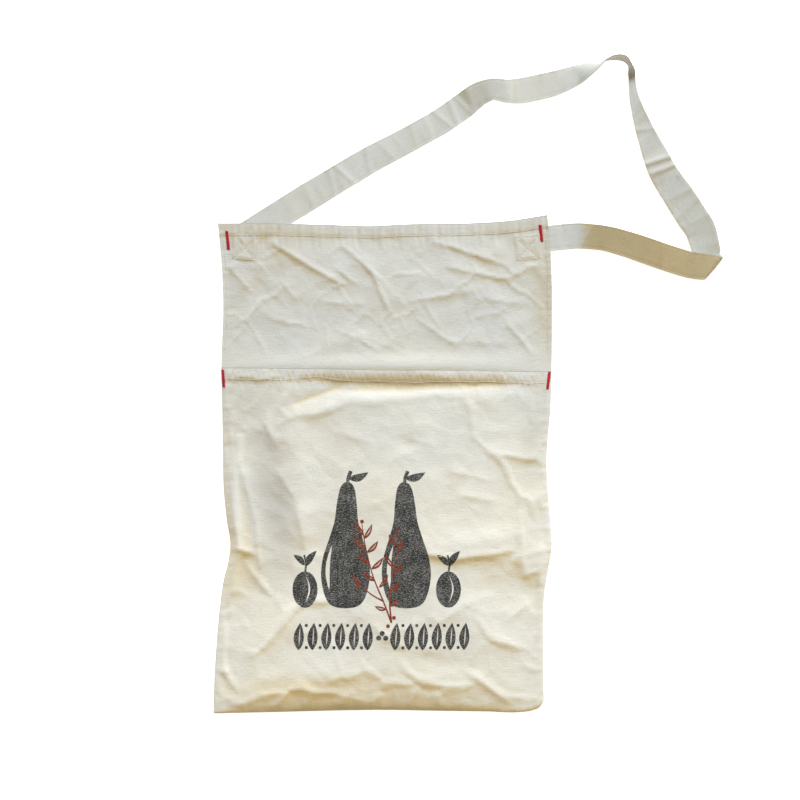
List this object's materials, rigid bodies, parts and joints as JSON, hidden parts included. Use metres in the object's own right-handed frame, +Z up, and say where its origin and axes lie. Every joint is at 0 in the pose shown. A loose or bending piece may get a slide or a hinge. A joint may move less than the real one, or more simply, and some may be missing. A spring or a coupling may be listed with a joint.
{
  "type": "fruit picking bag",
  "caption": "Flat canvas picking bag: an open-topped pouch under a plain bib, with a self-fabric shoulder strap sewn to the bib's top corners, laid out flat.",
  "frame": {"origin": "centre of the bag's back, on the surface that it lies on", "axes": "+X across the bag, +Y from the bottom seam to the top hem, +Z up from the surface that it lies on, out of the pouch's front"},
  "size_m": [0.6009, 0.785, 0.031],
  "materials": {
    "canvas": "matte",
    "strap": "matte",
    "thread": "matte",
    "tack": "satin"
  },
  "bodies": {
    "root": {"back_panel": "canvas", "left_side_seam": "canvas", "right_side_seam": "canvas", "bottom_seam": "canvas"},
    "pouch_front": {"front_panel": "canvas", "mouth_hem": "canvas", "mouth_hem_stitching": "thread", "mouth_bar_tack_left": "tack", "mouth_bar_tack_right": "tack"},
    "bib": {"bib_panel": "canvas", "top_hem": "canvas", "top_hem_stitching": "thread", "bib_left_hem": "canvas", "bib_right_hem": "canvas", "bib_left_hem_stitching": "thread", "bib_right_hem_stitching": "thread", "strap_left_box_stitching": "thread", "strap_right_box_stitching": "thread", "bib_bar_tack_left": "tack", "bib_bar_tack_right": "tack", "strap_left_tab": "strap", "strap_right_tab": "strap", "strap_left_turn": "strap"},
    "strap": {"strap_left_run": "strap", "strap_corner": "strap", "strap_right_run": "strap", "strap_fold": "strap", "strap_return_run": "strap"}
  },
  "joints": [
    {"name": "mouth_open", "type": "hinge", "parent": "root", "child": "pouch_front", "pos_m": [0, -0.293, 0.0033], "axis": [1, 0, 0], "range_deg": [0, 8]},
    {"name": "bib_fold", "type": "hinge", "parent": "root", "child": "bib", "pos_m": [0, 0.13, 0.001], "axis": [1, 0, 0], "range_deg": [0, 90]},
    {"name": "strap_swing", "type": "hinge", "parent": "bib", "child": "strap", "pos_m": [-0.115, 0.294, 0.002], "axis": [0.9945, -0.1045, 0], "range_deg": [0, 100]}
  ]
}
